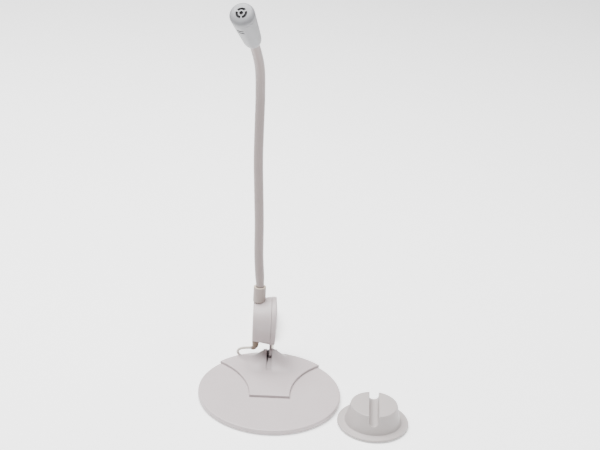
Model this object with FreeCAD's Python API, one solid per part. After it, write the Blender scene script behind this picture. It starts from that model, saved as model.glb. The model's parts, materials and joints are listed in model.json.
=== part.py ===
import FreeCAD, Part
import math
import os

# A desk microphone: a weighted round base, a round housing that tilts on it, a bendable neck
# with a slim head, a thin lead that ends in a 3.5 mm plug, and a loose stick-on holder whose
# slot grips the neck. Millimetres, +Z up, origin at the centre of the base's underside.
# The user sits on the -Y side.

Vec = FreeCAD.Vector
X_AXIS = Vec(1, 0, 0)
Y_AXIS = Vec(0, 1, 0)
Z_AXIS = Vec(0, 0, 1)

# ---------------------------------------------------------------- driving dimensions
base_radius = 60.0
base_top = 4.8
base_rim_round = 1.3
shell_underside = 3.4
shell_rim_wall = 1.7
shell_lift = 0.7
foot_pad_thickness = 1.0
foot_pad_radius = 52.0
bottom_plate_top = 2.0
bottom_plate_gap = 0.3
ballast_radius = 55.0

saddle_step = 2.4
saddle_front_half_width = 16.9
saddle_front_y = -10.7
saddle_side_middle = (24.8, 21.0)
saddle_tip = (43.0, 41.85)
saddle_edge_round = 0.6
saddle_screw_places = [(0.0, -2.0), (-19.0, 31.0), (19.0, 31.0)]
saddle_boss_radius = 3.5
saddle_boss_gap = 0.3

hill_height = 11.0
hill_half_width = 20.0
hill_front_length = 24.0
hill_back_length = 11.8
hill_sections_y = [24.6, 29.0, 34.0, 39.0, 44.0, 48.0, 51.0, 54.0, 57.0, 59.4]
hill_points_across = 13

pivot_y = 48.0
pivot_z = 16.0
pin_radius = 0.8
pin_half_length = 5.2
pin_clearance = 0.05
slot_left_x = -3.2
slot_right_x = 1.15
slot_floor = 7.8
slot_front_y = 25.5
ramp_depth = 1.2
ramp_heights_y = [30.9, 33.0, 35.0, 37.0, 38.5, 39.6]
ramp_tail = [(43.3, 10.0), (45.8, 7.7)]
ramp_plan = [(-1.1, 46.5), (-1.1, 41.0), (-3.2, 33.0), (-3.2, 24.0)]
slot_web_y = (52.5, 58.0)
tongue_half_thickness = 1.0
tongue_end_radius = 7.0
tongue_root_half_width = 7.0
tongue_root_z = 27.5

housing_z = 45.7
housing_left_x = -16.6
housing_seam_x = -1.0
lid_rim_x = 3.0
lid_dome_x = 4.4
housing_left_radius = 18.2
housing_seam_radius = 20.7
lid_radius = 20.8
housing_wall = 1.6
housing_edge_round = 1.0
housing_screw_radius = 14.2
housing_screw_angles = [35, 145, 215, 325]
housing_boss_radius = 2.3
screw_shank_radius = 1.1

board_radius = 11.0
board_thickness = 1.6
board_x = -9.0
board_post_offset = 8.0

collar_radius = 5.35
collar_foot = 64.3
collar_top = 78.5
collar_bore_radius = 4.3
collar_bore_floor = 68.5
anchor_shank_radius = 2.4
relief_x = -13.35
relief_stem_radius = 2.65
relief_top_radius = 3.1
relief_low_radius = 2.45
relief_bend_radius = 2.1
relief_nose_radius = 1.9
relief_gap = 0.15
relief_exit_z = 18.0
relief_exit_x = -16.8

neck_radius = 3.85
sleeve_inner_radius = 2.8
core_radius = 2.75
core_bore_radius = 1.0
core_flare_slope = 0.42
neck_lead_radius = 0.7
neck_lead_end_gap = 0.4
joint_gap = 0.25
# Pivots of the bending neck, from the collar up, and the point where it enters the head.
neck_route = [
    (-12.0, 48.0, 79.0),
    (-14.3, 47.3, 107.7),
    (-15.4, 46.0, 137.7),
    (-17.1, 44.0, 167.6),
    (-18.8, 41.7, 197.5),
    (-19.4, 38.6, 227.3),
    (-19.9, 33.5, 256.9),
    (-21.6, 22.4, 284.0),
    (-27.1, 4.9, 308.6),
]

head_direction = (-0.209, -0.700, 0.683)
head_length = 47.0
head_front_radius = 9.5
head_rear_radius = 6.5
head_wall = 1.3
head_seam = 41.0
head_rear_round = 2.6
head_front_round = 3.4
head_bore_radius = 3.95
grille_hole_radius = 1.45
grille_slot_inner = 2.45
grille_slot_outer = 4.35
grille_bridge_half_width = 0.6
port_heights = [31.2, 34.4]
port_half_height = 0.55
port_centre_angle = 250.0
port_half_angle = 18.0
capsule_radius = 4.85
capsule_length = 6.5

holder_place = (85.5, -35.6)
holder_turn = -3.5
holder_pad_thickness = 1.0
holder_flange_radius = 29.4
holder_flange_thickness = 1.9
holder_boss_low_radius = 23.2
holder_boss_top_radius = 19.2
holder_height = 18.8
holder_slot_width = 7.8
holder_slot_depth = 8.7
holder_wall = 1.8

cord_diameter = 2.2
cord_gap = 0.3
cord_floor_z = 1.2
# The lead's way from the strain relief, over the base's rear edge and round it to the hank.
cord_route = [
    (relief_exit_x - cord_gap, 48.0, relief_exit_z),
    (-25.0, 49.7, 16.8),
    (-29.4, 54.8, 10.2),
    (-26.0, 59.8, 1.8),
    (-16.0, 61.4, cord_floor_z),
    (-7.0, 63.6, cord_floor_z),
    (0.2, 68.6, cord_floor_z),
    (2.2, 77.5, cord_floor_z),
    (2.3, 89.0, cord_floor_z),
    (2.3, 99.0, cord_floor_z),
]
hank_x = -4.3
hank_near_y = 99.0
hank_run = 40.0
hank_inner_radius = 5.5
hank_outer_radius = 9.9
hank_bottom = 0.65
hank_top = 11.9
tie_y = 119.0
tie_width = 4.0
tie_thickness = 0.5
plug_axis = (2.3, 15.6)
plug_rear_y = 106.8
# The lead's last stretch, which lies on top of the hank and turns back into the plug.
cord_end_route = [
    (-13.1, 106.9, 12.3),
    (-13.1, 91.5, 13.3),
    (plug_axis[0], 91.5, 14.6),
    (plug_axis[0], plug_rear_y, plug_axis[1]),
]


# ---------------------------------------------------------------- helpers
def save(name, solids):
    if not isinstance(solids, list):
        solids = [solids]
    shape = solids[0] if len(solids) == 1 else Part.makeCompound(solids)
    shape.exportStep("parts/" + name + ".step")
    volume = sum(solid.Volume for solid in solids)
    print(f"{name:20s} solids {len(shape.Solids):2d} valid {shape.isValid()} volume {volume:9.1f}")


def one_solid(shape):
    return shape.removeSplitter().Solids[0]


def cylinder(radius, start, end):
    start = Vec(*start)
    direction = Vec(*end) - start
    return Part.makeCylinder(radius, direction.Length, start, direction)


def cone(radius_start, radius_end, start, end):
    start = Vec(*start)
    direction = Vec(*end) - start
    return Part.makeCone(radius_start, radius_end, direction.Length, start, direction)


def block(low, high):
    size = Vec(*high) - Vec(*low)
    return Part.makeBox(size.x, size.y, size.z, Vec(*low))


def outline_face(edges):
    return Part.Face(Part.Wire(edges))


def line(start, end):
    return Part.LineSegment(Vec(*start), Vec(*end)).toShape()


def arc(start, middle, end):
    return Part.Arc(Vec(*start), Vec(*middle), Vec(*end)).toShape()


def turned(profile):
    """A solid turned about Z from a closed polygon of (radius, height) points."""
    points = [Vec(radius, 0, height) for radius, height in profile]
    face = Part.Face(Part.makePolygon(points + points[:1]))
    return face.revolve(Vec(0, 0, 0), Z_AXIS, 360)


def turned_about_x(profile, centre_y, centre_z):
    """A solid turned about a line along X from a closed polygon of (x, radius) points."""
    points = [Vec(x, centre_y, centre_z + radius) for x, radius in profile]
    face = Part.Face(Part.makePolygon(points + points[:1]))
    return face.revolve(Vec(0, centre_y, centre_z), X_AXIS, 360)


def rounded(shape, radius, wanted):
    edges = [edge for edge in shape.Edges if wanted(edge)]
    return shape.makeFillet(radius, edges)


def frame_along(origin, direction):
    """The placement whose +Z lies along a direction, with its X as level as it can be."""
    z = Vec(*direction).normalize()
    x = (X_AXIS - z * X_AXIS.dot(z)).normalize()
    y = z.cross(x)
    origin = Vec(*origin)
    matrix = FreeCAD.Matrix(
        x.x, y.x, z.x, origin.x, x.y, y.y, z.y, origin.y, x.z, y.z, z.z, origin.z, 0, 0, 0, 1
    )
    return FreeCAD.Placement(matrix)


def placed(shape, placement):
    copy = shape.copy()
    copy.Placement = placement.multiply(copy.Placement)
    return copy


def cord_tube(points, diameter):
    """A round tube along straight runs joined by the largest tangent arcs that they allow."""
    points = [Vec(*point) for point in points]
    edges = []
    radii = []
    at = points[0]
    for before, corner, after in zip(points, points[1:], points[2:]):
        back = (before - corner).normalize()
        ahead = (after - corner).normalize()
        half_turn = (math.pi - back.getAngle(ahead)) / 2
        shorter = min((before - corner).Length, (after - corner).Length)
        cut = 0.45 * shorter
        radii.append(cut / math.tan(half_turn))
        arc_start = corner + back * cut
        arc_end = corner + ahead * cut
        inward = (back + ahead).normalize()
        reach = radii[-1] / math.cos(half_turn) - radii[-1]
        edges.append(Part.LineSegment(at, arc_start).toShape())
        edges.append(Part.Arc(arc_start, corner + inward * reach, arc_end).toShape())
        at = arc_end
    edges.append(Part.LineSegment(at, points[-1]).toShape())
    path = Part.Wire(edges)
    start_direction = points[1] - points[0]
    ring = Part.Wire(Part.makeCircle(diameter / 2, points[0], start_direction))
    tube = path.makePipeShell([ring], True, False)
    expected = math.pi * diameter**2 / 4 * path.Length
    print("cord run", round(path.Length, 1), "mm, arc radii", [round(r, 1) for r in radii])
    print("   volume over section times length", round(tube.Volume / expected, 4))
    return tube


# ---------------------------------------------------------------- base
saddle_top = base_top + saddle_step


def hill_across(x):
    return math.cos(math.pi * x / (2 * hill_half_width)) ** 2


def hill_along(y):
    reach = hill_front_length if y < pivot_y else hill_back_length
    return math.cos(math.pi * (y - pivot_y) / (2 * reach)) ** 2


def base_shell():
    inner = base_radius - shell_rim_wall
    body = turned(
        [
            (0, shell_underside),
            (inner, shell_underside),
            (inner, shell_lift),
            (base_radius - 0.5, shell_lift),
            (base_radius, shell_lift + 0.5),
            (base_radius, base_top),
            (0, base_top),
        ]
    )
    body = rounded(
        body,
        base_rim_round,
        lambda e: abs(e.BoundBox.ZMin - base_top) < 0.01 and e.BoundBox.XMax > base_radius - 0.1,
    )
    for x, y in saddle_screw_places:
        hole = cylinder(saddle_boss_radius + saddle_boss_gap, (x, y, 0), (x, y, base_top + 1))
        body = body.cut(hole)
    return one_solid(body)


def saddle_outline():
    front = saddle_front_half_width
    tip_x, tip_y = saddle_tip
    side_x, side_y = saddle_side_middle
    z = base_top
    tip_radius = math.hypot(tip_x, tip_y)
    return [
        line((-front, saddle_front_y, z), (front, saddle_front_y, z)),
        arc((front, saddle_front_y, z), (side_x, side_y, z), (tip_x, tip_y, z)),
        arc((tip_x, tip_y, z), (0, tip_radius, z), (-tip_x, tip_y, z)),
        arc((-tip_x, tip_y, z), (-side_x, side_y, z), (-front, saddle_front_y, z)),
    ]


def hill():
    sections = []
    for y in hill_sections_y:
        top = []
        for i in range(hill_points_across):
            x = hill_half_width * (2 * i / (hill_points_across - 1) - 1)
            height = hill_height * hill_across(x) * hill_along(y)
            top.append(Vec(x, y, saddle_top - 0.3 + height))
        curve = Part.BSplineCurve()
        curve.interpolate(top)
        low = base_top + 0.6
        corners = [Vec(hill_half_width, y, low), Vec(-hill_half_width, y, low)]
        edges = [
            curve.toShape(),
            Part.LineSegment(top[-1], corners[0]).toShape(),
            Part.LineSegment(corners[0], corners[1]).toShape(),
            Part.LineSegment(corners[1], top[0]).toShape(),
        ]
        sections.append(Part.Wire(edges))
    edge = cylinder(base_radius - 0.2, (0, 0, base_top), (0, 0, saddle_top + hill_height + 1))
    return Part.makeLoft(sections, True, False).common(edge)


def slot_ramp():
    """The rib beside the open side of the slot, clear of where the tongue swings."""
    crest = [
        Vec(slot_left_x, y, saddle_top - 0.3 + hill_height * hill_along(y) - ramp_depth)
        for y in ramp_heights_y
    ]
    tail = [Vec(slot_left_x, y, z) for y, z in ramp_tail]
    low = [Vec(slot_left_x, ramp_tail[-1][0], 7.0), Vec(slot_left_x, slot_front_y - 1, 7.0)]
    front = [Vec(slot_left_x, slot_front_y, slot_floor)]
    outline = crest + tail + low + front
    rib = Part.Face(Part.makePolygon(outline + outline[:1]))
    rib = rib.extrude(Vec(slot_right_x - slot_left_x, 0, 0))
    corners = [Vec(x, y, 6.5) for x, y in ramp_plan]
    corners += [Vec(slot_right_x, 24.0, 6.5), Vec(slot_right_x, 46.5, 6.5)]
    plan = Part.Face(Part.makePolygon(corners + corners[:1])).extrude(Vec(0, 0, 14))
    return rib.common(plan)


def slot_web():
    """Closes the slot's open side behind the tongue."""
    near, far = slot_web_y
    top = saddle_top + hill_height
    return block((slot_left_x, near, slot_floor - 0.5), (ramp_plan[0][0], far, top)).common(hill())


def stand_saddle():
    plate = outline_face(saddle_outline()).extrude(Vec(0, 0, saddle_step))
    plate = rounded(
        plate,
        saddle_edge_round,
        lambda e: abs(e.BoundBox.ZMin - saddle_top) < 0.01 and abs(e.BoundBox.ZMax - saddle_top) < 0.01,
    )
    body = plate.fuse(hill())
    for x, y in saddle_screw_places:
        boss = cylinder(saddle_boss_radius, (x, y, bottom_plate_top), (x, y, base_top + 1))
        body = body.fuse(boss)
        body = body.cut(cylinder(screw_shank_radius, (x, y, 0), (x, y, base_top + 1.2)))
    slot = block(
        (slot_left_x, slot_front_y, slot_floor),
        (slot_right_x, base_radius + 5, pivot_z + hill_height),
    )
    body = body.cut(slot).fuse(slot_ramp()).fuse(slot_web())
    bore = cylinder(
        pin_radius + pin_clearance,
        (-pin_half_length - 4, pivot_y, pivot_z),
        (pin_half_length + 4, pivot_y, pivot_z),
    )
    return one_solid(body.cut(bore))


def ballast_plate():
    plate = cylinder(ballast_radius, (0, 0, bottom_plate_top), (0, 0, shell_underside))
    for x, y in saddle_screw_places:
        plate = plate.cut(cylinder(saddle_boss_radius + 0.6, (x, y, 0), (x, y, base_top)))
    return plate


def bottom_plate():
    radius = base_radius - shell_rim_wall - bottom_plate_gap
    plate = cylinder(radius, (0, 0, foot_pad_thickness), (0, 0, bottom_plate_top))
    for x, y in saddle_screw_places:
        plate = plate.cut(saddle_screw(x, y))
    return plate


def saddle_screw(x, y):
    head = cone(2.2, screw_shank_radius, (x, y, foot_pad_thickness), (x, y, bottom_plate_top))
    shank = cylinder(screw_shank_radius, (x, y, bottom_plate_top - 0.01), (x, y, base_top + 1))
    return one_solid(head.fuse(shank))


def build_base():
    save("base_shell", base_shell())
    save("stand_saddle", stand_saddle())
    save("ballast_plate", ballast_plate())
    save("bottom_plate", bottom_plate())
    save("saddle_screws", [saddle_screw(x, y) for x, y in saddle_screw_places])
    save("foot_pad", cylinder(foot_pad_radius, (0, 0, 0), (0, 0, foot_pad_thickness)))
    pin = cylinder(
        pin_radius, (-pin_half_length, pivot_y, pivot_z), (pin_half_length, pivot_y, pivot_z)
    )
    save("tilt_pin", pin)


# ---------------------------------------------------------------- tilting housing
def housing_outer():
    body = turned_about_x(
        [
            (housing_left_x, 0),
            (housing_left_x, housing_left_radius),
            (housing_seam_x, housing_seam_radius),
            (housing_seam_x, 0),
        ],
        pivot_y,
        housing_z,
    )
    return rounded(
        body,
        housing_edge_round,
        lambda e: abs(e.BoundBox.XMax - housing_left_x) < 0.01,
    )


def housing_screw_line(angle, x_start, x_end):
    y = pivot_y + housing_screw_radius * math.cos(math.radians(angle))
    z = housing_z + housing_screw_radius * math.sin(math.radians(angle))
    return (x_start, y, z), (x_end, y, z)


screw_seat_x = housing_left_x + 2.6
boss_end_x = housing_seam_x - 2.4
inner_left_x = housing_left_x + housing_wall


def housing_body():
    cavity = turned_about_x(
        [
            (inner_left_x, 0),
            (inner_left_x, housing_left_radius - housing_wall),
            (housing_seam_x + 1, housing_seam_radius - housing_wall),
            (housing_seam_x + 1, 0),
        ],
        pivot_y,
        housing_z,
    )
    body = housing_outer().cut(cavity)
    for angle in housing_screw_angles:
        body = body.fuse(
            cylinder(
                housing_boss_radius + 0.9,
                *housing_screw_line(angle, inner_left_x - 0.2, boss_end_x)
            ).common(housing_outer())
        )
    for side in (-1, 1):
        y = pivot_y + side * board_post_offset
        body = body.fuse(cylinder(1.8, (inner_left_x - 0.2, y, housing_z), (board_x, y, housing_z)))
        body = body.cut(cylinder(0.8, (board_x - 3, y, housing_z), (board_x + 1, y, housing_z)))
    for angle in housing_screw_angles:
        head_line = housing_screw_line(angle, housing_left_x - 1, screw_seat_x)
        shank_line = housing_screw_line(angle, housing_left_x - 1, housing_seam_x)
        body = body.cut(cylinder(housing_boss_radius, *head_line))
        body = body.cut(cylinder(screw_shank_radius + 0.15, *shank_line))
    neck_x = neck_route[0][0]
    above = housing_z + housing_left_radius + 6
    body = body.cut(
        cylinder(anchor_shank_radius + 0.05, (neck_x, pivot_y, housing_z + 8), (neck_x, pivot_y, above))
    )
    below = housing_z - housing_left_radius - 6
    body = body.cut(
        cylinder(relief_stem_radius + 0.02, (relief_x, pivot_y, below), (relief_x, pivot_y, housing_z - 12))
    )
    return one_solid(body)


def tongue():
    half = tongue_root_half_width
    end = tongue_end_radius
    x = -tongue_half_thickness
    y = pivot_y
    z = pivot_z
    edges = [
        arc((x, y - end, z), (x, y, z - end), (x, y + end, z)),
        line((x, y + end, z), (x, y + half, tongue_root_z)),
        line((x, y + half, tongue_root_z), (x, y - half, tongue_root_z)),
        line((x, y - half, tongue_root_z), (x, y - end, z)),
    ]
    plate = outline_face(edges).extrude(Vec(2 * tongue_half_thickness, 0, 0))
    return plate.cut(cylinder(pin_radius + pin_clearance, (-3, y, z), (3, y, z)))


def housing_lid():
    dome_radius = lid_radius - 1.9
    dome_rise = lid_dome_x - lid_rim_x - 0.1
    sphere_radius = (dome_radius**2 + dome_rise**2) / (2 * dome_rise)
    half_way = dome_radius / 2
    half_drop = sphere_radius - math.sqrt(sphere_radius**2 - half_way**2)
    outer = outline_face(
        [
            line((housing_seam_x, pivot_y, housing_z), (housing_seam_x, pivot_y, housing_z + lid_radius)),
            line(
                (housing_seam_x, pivot_y, housing_z + lid_radius),
                (lid_rim_x - 1.2, pivot_y, housing_z + lid_radius),
            ),
            arc(
                (lid_rim_x - 1.2, pivot_y, housing_z + lid_radius),
                (lid_rim_x - 0.25, pivot_y, housing_z + lid_radius - 0.6),
                (lid_rim_x + 0.1, pivot_y, housing_z + lid_radius - 1.9),
            ),
            arc(
                (lid_rim_x + 0.1, pivot_y, housing_z + lid_radius - 1.9),
                (lid_dome_x - half_drop, pivot_y, housing_z + half_way),
                (lid_dome_x, pivot_y, housing_z),
            ),
            line((lid_dome_x, pivot_y, housing_z), (housing_seam_x, pivot_y, housing_z)),
        ]
    ).revolve(Vec(0, pivot_y, housing_z), X_AXIS, 360)
    hollow_radius = housing_seam_radius - housing_wall - 1.4
    hollow = cylinder(
        hollow_radius,
        (housing_seam_x - 3, pivot_y, housing_z),
        (lid_rim_x - housing_wall, pivot_y, housing_z),
    )
    lip_radius = housing_seam_radius - housing_wall - 0.6
    lip = cylinder(
        lip_radius, (boss_end_x + 1.0, pivot_y, housing_z), (housing_seam_x + 0.5, pivot_y, housing_z)
    )
    body = outer.fuse(lip).cut(hollow)
    for angle in housing_screw_angles:
        boss_line = housing_screw_line(angle, boss_end_x, lid_rim_x - 0.6)
        pilot_line = housing_screw_line(angle, boss_end_x - 1, lid_rim_x - 1.2)
        body = body.fuse(cylinder(housing_boss_radius, *boss_line))
        body = body.cut(cylinder(screw_shank_radius, *pilot_line))
    return one_solid(body.fuse(tongue()))


def lid_screw(angle):
    head = cylinder(housing_boss_radius - 0.25, *housing_screw_line(angle, screw_seat_x - 1.5, screw_seat_x))
    shank = cylinder(screw_shank_radius, *housing_screw_line(angle, screw_seat_x - 0.2, lid_rim_x - 1.3))
    driver = housing_screw_line(angle, screw_seat_x - 2, screw_seat_x - 0.8)[0]
    _, y, z = driver
    cross = block((screw_seat_x - 1.6, y - 1.2, z - 0.25), (screw_seat_x - 0.8, y + 1.2, z + 0.25))
    cross = cross.fuse(
        block((screw_seat_x - 1.6, y - 0.25, z - 1.2), (screw_seat_x - 0.8, y + 0.25, z + 1.2))
    )
    return one_solid(head.fuse(shank).cut(cross))


def board_parts():
    top = board_x + board_thickness
    y = pivot_y
    z = housing_z
    return [
        cylinder(2.4, (top, y - 3.0, z + 4.5), (top + 4.4, y - 3.0, z + 4.5)),
        block((top, y + 0.5, z + 3.0), (top + 1.4, y + 4.5, z + 5.6)),
        block((top, y - 2.0, z - 3.6), (top + 0.6, y - 0.4, z - 2.8)),
        block((top, y + 1.0, z - 3.6), (top + 0.6, y + 2.6, z - 2.8)),
        block((top, y - 4.5, z - 8.5), (top + 2.8, y + 4.5, z - 5.5)),
    ]


def board():
    disc = cylinder(
        board_radius, (board_x, pivot_y, housing_z), (board_x + board_thickness, pivot_y, housing_z)
    )
    for side in (-1, 1):
        y = pivot_y + side * board_post_offset
        disc = disc.cut(cylinder(1.0, (board_x - 1, y, housing_z), (board_x + 3, y, housing_z)))
    return disc


def board_screw(side):
    y = pivot_y + side * board_post_offset
    top = board_x + board_thickness
    head = cylinder(1.7, (top, y, housing_z), (top + 1.1, y, housing_z))
    shank = cylinder(0.8, (board_x - 2.5, y, housing_z), (top + 0.1, y, housing_z))
    return one_solid(head.fuse(shank))


def neck_collar():
    x, y, _ = neck_route[0]
    foot = collar_foot
    body = cylinder(collar_radius, (x, y, foot), (x, y, collar_top))
    body = rounded(body, 0.5, lambda e: e.BoundBox.ZLength < 0.01)
    body = body.cut(housing_outer())
    body = body.cut(cylinder(collar_bore_radius, (x, y, collar_bore_floor), (x, y, collar_top + 1)))
    body = body.cut(cylinder(anchor_shank_radius + 0.05, (x, y, foot - 1), (x, y, collar_top)))
    return max(body.Solids, key=lambda solid: solid.Volume)


def neck_anchor():
    x, y, z = neck_route[0]
    ball = Part.makeSphere(neck_radius, Vec(x, y, z))
    barrel = cylinder(neck_radius, (x, y, collar_bore_floor), (x, y, z))
    shank = cylinder(anchor_shank_radius, (x, y, housing_z + 11), (x, y, collar_bore_floor + 0.1))
    body = barrel.fuse(ball).fuse(shank)
    body = body.cut(cylinder(core_bore_radius, (x, y, housing_z), (x, y, z)))
    return one_solid(body.cut(ball_flare(0)))


def anchor_nut():
    x, y, _ = neck_route[0]
    top = housing_z + housing_left_radius - housing_wall - 0.5
    corners = []
    for i in range(6):
        angle = math.radians(60 * i + 30)
        corners.append(Vec(x + 3.4 * math.cos(angle), y + 3.4 * math.sin(angle), top - 2.2))
    hexagon = Part.Face(Part.makePolygon(corners + corners[:1])).extrude(Vec(0, 0, 2.2))
    return hexagon.cut(cylinder(anchor_shank_radius + 0.02, (x, y, top - 3), (x, y, top + 1)))


def cord_relief():
    x = relief_x
    y = pivot_y
    bend_z = relief_exit_z + relief_bend_radius
    bend_x = x - relief_bend_radius
    flange_z = housing_z - housing_left_radius + housing_wall + 0.3
    flange = cylinder(relief_stem_radius + 0.8, (x, y, flange_z), (x, y, flange_z + 1.3))
    beyond = block((x - 9, y - 9, flange_z - 1), (inner_left_x + 0.1, y + 9, flange_z + 3))
    flange = flange.cut(beyond)
    stem = cylinder(relief_stem_radius, (x, y, flange_z + 0.1), (x, y, bend_z + 4))
    skirt = cone(relief_top_radius, relief_low_radius, (x, y, flange_z - 1.4), (x, y, bend_z))
    shell = housing_outer()
    shell.translate(Vec(0, 0, -relief_gap))
    skirt = max(skirt.cut(shell).Solids, key=lambda solid: solid.Volume)
    ring = Part.Wire(Part.makeCircle(relief_nose_radius, Vec(x, y, bend_z), Z_AXIS))
    elbow = Part.Face(ring).revolve(Vec(bend_x, y, bend_z), Y_AXIS, 90)
    nose = cone(
        relief_nose_radius, cord_diameter / 2 + 0.4, (bend_x, y, relief_exit_z), (relief_exit_x, y, relief_exit_z)
    )
    return one_solid(flange.fuse(stem).fuse(skirt).fuse(elbow).fuse(nose))


def build_housing():
    save("housing_body", housing_body())
    save("housing_lid", housing_lid())
    save("lid_screws", [lid_screw(angle) for angle in housing_screw_angles])
    save("circuit_board", board())
    save("board_parts", board_parts())
    save("board_screws", [board_screw(-1), board_screw(1)])
    save("neck_collar", neck_collar())
    save("neck_anchor", neck_anchor())
    save("anchor_nut", anchor_nut())
    save("cord_relief", cord_relief())


# ---------------------------------------------------------------- bending neck
def ball_flare(index):
    """The cone in a ball end that lets the next link's lead swing in it."""
    pivot = Vec(*neck_route[index])
    direction = (Vec(*neck_route[index + 1]) - pivot).normalize()
    length = neck_radius + 1
    low = core_bore_radius
    return Part.makeCone(low, low + core_flare_slope * length, length, pivot, direction)


def neck_link(index):
    """One link between two pivots: cupped at its lower end, ball-shaped at its upper end."""
    start = Vec(*neck_route[index])
    end = Vec(*neck_route[index + 1])
    direction = (end - start).normalize()
    last = index == len(neck_route) - 2
    reach = end + direction * 4 if last else end
    cup = Part.makeSphere(neck_radius + joint_gap, start)
    if last:
        cutter = Part.makeBox(40, 40, 20, Vec(-20, -20, 0))
        cutter = placed(cutter, frame_along(neck_route[-1], head_direction))
    else:
        cutter = None

    def trimmed(radius):
        body = cylinder(radius, start, reach)
        if not last:
            ball = Part.makeSphere(neck_radius, end)
            tip = cylinder(radius, end, end + direction * (neck_radius + 1))
            body = body.fuse(tip.common(ball))
        body = body.cut(cup)
        if cutter:
            body = body.cut(cutter)
        return body

    sleeve = trimmed(neck_radius).cut(
        cylinder(sleeve_inner_radius, start - direction * 5, reach + direction * 9)
    )
    core = trimmed(core_radius).cut(
        cylinder(core_bore_radius, start - direction * 5, reach + direction * 9)
    )
    if not last:
        core = core.cut(ball_flare(index + 1))
    lead = cylinder(
        neck_lead_radius, start + direction * neck_lead_end_gap, end - direction * neck_lead_end_gap
    )
    return one_solid(core), one_solid(sleeve), lead


def build_neck():
    for index in range(len(neck_route) - 1):
        core, sleeve, lead = neck_link(index)
        save(f"neck_core_{index + 1}", core)
        save(f"neck_sleeve_{index + 1}", sleeve)
        save(f"neck_lead_{index + 1}", lead)


# ---------------------------------------------------------------- head
def head_radius(height):
    """The head's outer radius at a height above its rear end: a gently swelling taper."""
    share = height / (head_length - 4)
    return head_rear_radius + (head_front_radius - head_rear_radius) * share**0.85


def head_profile(inset):
    """The closed profile of the head's outside, moved inwards by inset."""
    shoulder = head_length - head_front_round - 0.6
    heights = [head_rear_round + i * (shoulder - head_rear_round) / 5 for i in range(6)]
    side = [Vec(head_radius(h) - inset, 0, h) for h in heights]
    rear_corner = head_radius(head_rear_round) - inset
    curve = Part.BSplineCurve()
    curve.interpolate(side)
    rear = inset
    front = head_length - inset
    rear_flat = rear_corner - head_rear_round * 0.75
    front_radius = side[-1].x
    face_radius = front_radius - head_front_round
    edges = [
        Part.LineSegment(Vec(0, 0, rear), Vec(rear_flat, 0, rear)).toShape(),
        Part.Arc(
            Vec(rear_flat, 0, rear),
            Vec(rear_corner - 0.5, 0, rear + (head_rear_round - inset * 0.6) * 0.35),
            side[0],
        ).toShape(),
        curve.toShape(),
        Part.Arc(
            side[-1],
            Vec(front_radius - head_front_round * 0.27, 0, shoulder + (front - 0.6 - shoulder) * 0.72),
            Vec(face_radius, 0, front - 0.6),
        ).toShape(),
        Part.Arc(
            Vec(face_radius, 0, front - 0.6), Vec(face_radius * 0.52, 0, front - 0.16), Vec(0, 0, front)
        ).toShape(),
        Part.LineSegment(Vec(0, 0, front), Vec(0, 0, rear)).toShape(),
    ]
    return Part.Face(Part.Wire(edges))


def head_solid(inset):
    return head_profile(inset).revolve(Vec(0, 0, 0), Z_AXIS, 360)


def ring_sector(inner, outer, low, high, start_angle, end_angle):
    """A sector of a ring about Z, between two heights and two angles in degrees."""
    face = Part.makePolygon(
        [Vec(inner, 0, low), Vec(outer, 0, low), Vec(outer, 0, high), Vec(inner, 0, high), Vec(inner, 0, low)]
    )
    sector = Part.Face(face).revolve(Vec(0, 0, 0), Z_AXIS, end_angle - start_angle)
    return sector.rotate(Vec(0, 0, 0), Z_AXIS, start_angle)


def grille_cutters():
    cutters = [cylinder(grille_hole_radius, (0, 0, head_seam), (0, 0, head_length + 1))]
    middle = (grille_slot_inner + grille_slot_outer) / 2
    bridge = math.degrees(math.asin(grille_bridge_half_width / middle))
    for start in (30, 150, 270):
        cutters.append(
            ring_sector(
                grille_slot_inner, grille_slot_outer, head_seam, head_length + 1,
                start + bridge, start + 120 - bridge,
            )
        )
    return cutters


def head_pieces():
    whole = head_solid(0).cut(head_solid(head_wall))
    rear = block((-20, -20, -1), (20, 20, head_seam))
    front = block((-20, -20, head_seam), (20, 20, head_length + 2))
    body = whole.common(rear)
    neck_socket = cylinder(head_bore_radius + 1.2, (0, 0, 0.4), (0, 0, 9))
    body = body.fuse(neck_socket.common(head_solid(0)))
    body = body.cut(cylinder(head_bore_radius, (0, 0, -1), (0, 0, 12)))
    for height in port_heights:
        start = port_centre_angle - port_half_angle
        low = height - port_half_height
        high = height + port_half_height
        body = body.cut(ring_sector(5, 12, low, high, start, start + 2 * port_half_angle))
    cap = whole.common(front)
    lip_outer = head_radius(head_seam) - head_wall - 0.05
    lip = turned(
        [
            (lip_outer - 1.0, head_seam - 2.5),
            (lip_outer, head_seam - 2.5),
            (lip_outer, head_seam + 1.5),
            (lip_outer - 1.0, head_seam + 1.5),
        ]
    )
    cap = cap.fuse(lip)
    for cutter in grille_cutters():
        cap = cap.cut(cutter)
    return one_solid(body), one_solid(cap)


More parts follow.
